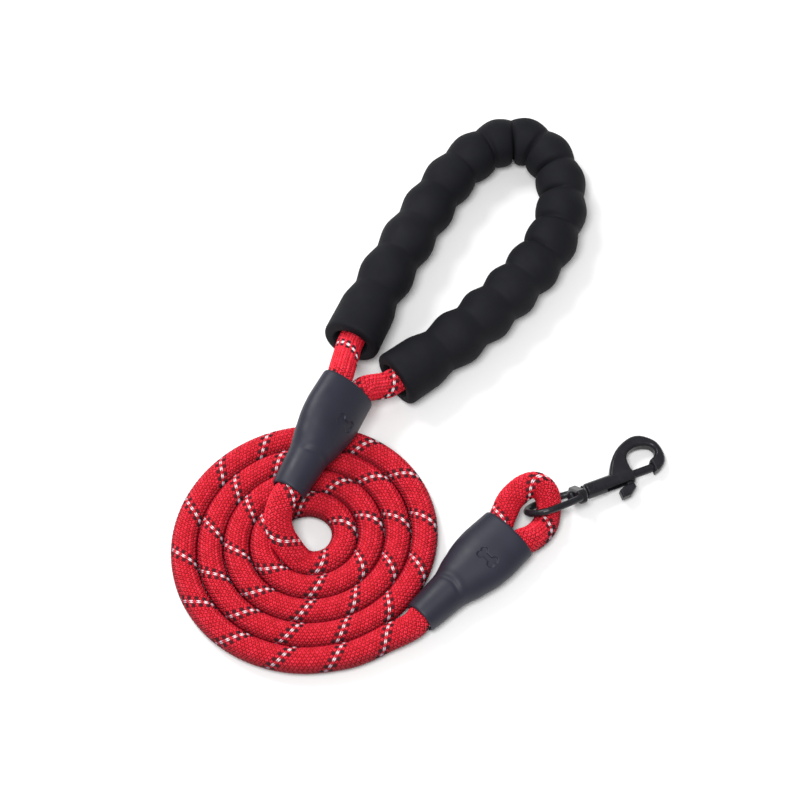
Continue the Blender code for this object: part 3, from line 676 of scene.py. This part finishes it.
def sleeve(name, node, matrix, coat):
    """A moulded sleeve: oval body over two rope legs, a shoulder, a neck, a seam and a pressed bone."""
    angles = np.radians(np.r_[np.arange(0, 252, 4), np.arange(252, 328, 0.9), np.arange(328, 360, 4)])
    across, up = np.cos(angles), np.sin(angles)
    stations = np.r_[0, 0.15, 0.4, 0.8, np.arange(1.5, 36, 0.7), np.arange(36, 44, 0.25),
                     np.arange(44, 57, 0.7), 57.2, 57.6, 57.85, SLEEVE_LENGTH]
    sizes = eased(SLEEVE_OUTSIDE, stations)
    x = sizes[:, :1] * across
    y = sizes[:, 1:] * up
    z = np.repeat(stations[:, None], len(angles), 1)
    out = unit(np.stack([across / sizes[:, :1], up / sizes[:, 1:]], -1))
    fold_at = SHOULDER_AT - SHOULDER_BOW * (x / SHOULDER_BOW_AT) ** 2
    fold = FOLD_DEPTH * np.exp(-((z - fold_at) / FOLD_WIDTH) ** 2) * up ** 2
    lip = LIP_HEIGHT * np.exp(-((z - fold_at - LIP_AHEAD) / LIP_WIDTH) ** 2) * up ** 2
    seam = SEAM_HEIGHT * np.exp(-(y / SEAM_WIDTH) ** 2) * (np.abs(across) > 0.9)
    push = lip - fold + seam - np.where(up < 0, bone_depth(x, z), 0)
    outer = np.stack([x + out[..., 0] * push, y + out[..., 1] * push, z], -1)
    inner_stations = np.r_[SLEEVE_LENGTH, 57.2, np.arange(55, 1, -3.0), 0.6, 0.0]
    sizes = eased(SLEEVE_INSIDE[::-1], inner_stations)
    inner = np.stack([sizes[:, :1] * across, sizes[:, 1:] * up,
                      np.repeat(inner_stations[:, None], len(angles), 1)], -1)
    rings = in_frame(matrix, np.concatenate([outer, inner]))
    made = lofted(name, rings, [coat], closed=True, sharp=50)
    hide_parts(node)
    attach(made, "leash")


def add_sleeves():
    plastic = sleeve_finish()
    sleeve("handle_sleeve_shell", "handle_sleeve", HANDLE, plastic)
    sleeve("snap_sleeve_shell", "snap_sleeve", FLAT, plastic)


def coat_crimps():
    """The crimps' CAD shapes stay; they only get a better material."""
    alloy = alloy_finish()
    for node in ("handle_crimp", "snap_crimp"):
        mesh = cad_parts[node].data
        mesh.materials.clear()
        mesh.materials.append(alloy)


# ---- foam grip ----------------------------------------------------------------------------------

def grip_radius(run, total, inward):
    """Outside radius: plain flared ends and round bulges, pinched together inside the bend."""
    peaks = np.r_[GRIP_FLARES[0], GRIP_BULGES, total - GRIP_FLARES[1]]
    k = np.clip(np.searchsorted(peaks, run, side="right") - 1, 0, len(peaks) - 2)
    share = np.clip((run - peaks[k]) / (peaks[k + 1] - peaks[k]), 0, 1)
    soft = 0.5 + 0.5 * np.cos(2 * np.pi * share)
    crisp = np.abs(np.cos(np.pi * share)) ** 0.7
    bend = np.exp(-((run - GRIP_BEND_AT) / GRIP_BEND_REACH) ** 2)
    peak = GRIP_BULGE_R + (GRIP_BEND_R - GRIP_BULGE_R) * bend
    valley = GRIP_VALLEY_R + (GRIP_BEND_VALLEY_R - GRIP_VALLEY_R) * bend
    flare = np.clip(np.maximum(1 - run / GRIP_FLARES[0], 1 - (total - run) / GRIP_FLARES[1]), 0, 1)
    peak = peak + (GRIP_END_R - peak) * flare
    pinch = np.exp(-((run - PINCH_AT) / PINCH_REACH) ** 4) * np.clip(0.55 + 0.5 * inward, 0.1, 1)
    wave = soft + (crisp - soft) * np.clip(0.4 + pinch, 0, 1)
    crease = PINCH_DEPTH * pinch * np.exp(-((share - 0.5) / CREASE_WIDTH) ** 2)
    return valley + (peak - valley) * wave - crease


def grip(name, node, coat):
    """A foam tube round the rope's route, with rounded rims and an open bore."""
    route = Route(GRIP_ROUTE, 1.0)
    total = route.length
    turns = np.radians(np.arange(0, 360, 6.0))
    rim_at, rim_cut = np.array(GRIP_RIM).T
    stations = np.r_[rim_at, np.arange(3.2, total - 3.0, 0.8), total - rim_at[::-1]]
    cut = np.zeros(len(stations))
    cut[:len(rim_cut)] = rim_cut
    cut[-len(rim_cut):] = rim_cut[::-1]
    run, turn = np.meshgrid(stations, turns, indexing="ij")
    ahead = route.at(np.clip(run + BOW_REACH, 0, total))[0]
    behind = route.at(np.clip(run - BOW_REACH, 0, total))[0]
    centre, side, third, _ = route.at(run)
    bow = unit(0.5 * (ahead + behind) - centre + 1e-9)
    outwards = np.cos(turn)[..., None] * side + np.sin(turn)[..., None] * third
    inward = (outwards * bow).sum(-1)
    outer_r = grip_radius(run, total, inward) - cut[:, None]
    outer = route.skin(run, turn, outer_r)
    bore = np.array([(total, GRIP_END_R - 4.2), (total - 0.1, GRIP_BORE_MOUTH_R + 0.5),
                     (total - 0.8, GRIP_BORE_MOUTH_R)]
                    + [(d, GRIP_BORE_R) for d in np.linspace(total - 5, 5, 60)]
                    + [(0.8, GRIP_BORE_MOUTH_R), (0.1, GRIP_BORE_MOUTH_R + 0.5), (0.0, GRIP_END_R - 4.2)])
    bore_run, bore_turn = np.meshgrid(bore[:, 0], turns, indexing="ij")
    bore_r = np.repeat(bore[:, 1:], len(turns), 1)
    inner = route.skin(bore_run, bore_turn, bore_r)
    made = lofted(name, np.concatenate([outer, inner]), [coat], closed=True, sharp=60)
    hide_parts(node)
    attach(made, "leash")


# ---- snap ---------------------------------------------------------------------------------------

def cast(name, node, body, voxel, rounds, coat):
    """A CAD node's own shape with its edges rounded over, as a coated casting's are."""
    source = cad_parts[node]
    bm = bmesh.new()
    bm.from_mesh(source.data)
    bmesh.ops.remove_doubles(bm, verts=bm.verts, dist=1e-6)
    mesh = bpy.data.meshes.new(name)
    bm.to_mesh(mesh)
    bm.free()
    made = bpy.data.objects.new(name, mesh)
    bpy.context.scene.collection.objects.link(made)
    fine = made.modifiers.new("fine", "REMESH")
    fine.mode = "VOXEL"
    fine.voxel_size = voxel * MM
    relax = made.modifiers.new("relax", "SMOOTH")
    relax.factor = 0.5
    relax.iterations = rounds
    solved = made.evaluated_get(bpy.context.evaluated_depsgraph_get())
    made.data = bpy.data.meshes.new_from_object(solved)
    made.modifiers.clear()
    made.data.materials.clear()
    made.data.materials.append(coat)
    made.data.shade_smooth()
    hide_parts(node)
    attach(made, body)
    return made


def add_snap():
    enamel, steel = enamel_finish(), steel_finish()
    cast("snap_casting", "snap_body", "snap", 0.26, 5, enamel)
    cast("swivel_ring", "swivel_eye", "eye", 0.24, 5, enamel)
    cast("rivet", "swivel_pin", "snap", 0.16, 3, enamel)
    cast("rivet_washer", "swivel_washer", "snap", 0.14, 2, steel)
    cast("gate_bolt", "bolt", "bolt", 0.16, 3, enamel)
    cast("gate_lever", "thumb_lever", "bolt", 0.2, 4, enamel)
    gate_spring(steel)


def gate_spring(steel):
    """A coil spring inside the barrel, made at one fixed length, though the real one shortens as the bolt
    slides back.
    """
    axis = Matrix.Translation(SNAP_ORIGIN) @ Matrix.Rotation(SNAP_HEADING, 4, "Z") @ Matrix.Rotation(
        SNAP_DIP, 4, "Y")
    turns = np.arange(0, 360 * SPRING_TURNS + 1, 15.0)
    low, high = SPRING_FROM + SPRING_WIRE_R, SPRING_TO - SPRING_WIRE_R
    x = low + (high - low) * turns / turns[-1]
    points = np.stack([x, SPRING_R * np.cos(np.radians(turns)), SPRING_R * np.sin(np.radians(turns))], 1)
    centres = in_frame(axis, points)
    along = unit(np.gradient(centres, axis=0))
    outwards = unit(centres - in_frame(axis, np.stack([x, 0 * x, 0 * x], 1)))
    third = np.cross(along, outwards)
    rounds = np.radians(np.arange(0, 360, 36.0))[:, None, None]
    rings = centres + SPRING_WIRE_R * (np.cos(rounds) * outwards + np.sin(rounds) * third)
    made = lofted("gate_spring", rings.transpose(1, 0, 2), [steel])
    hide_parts("bolt_spring")
    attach(made, "snap")
    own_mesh(made)


add_camera()
add_world()
for light in LIGHTS:
    add_light(*light)
add_floor()
yarns = rope_coats()
add_free_rope(yarns)
add_held_ropes(yarns)
add_sleeves()
coat_crimps()
grip("hand_grip", "foam_grip", foam_finish())
add_snap()
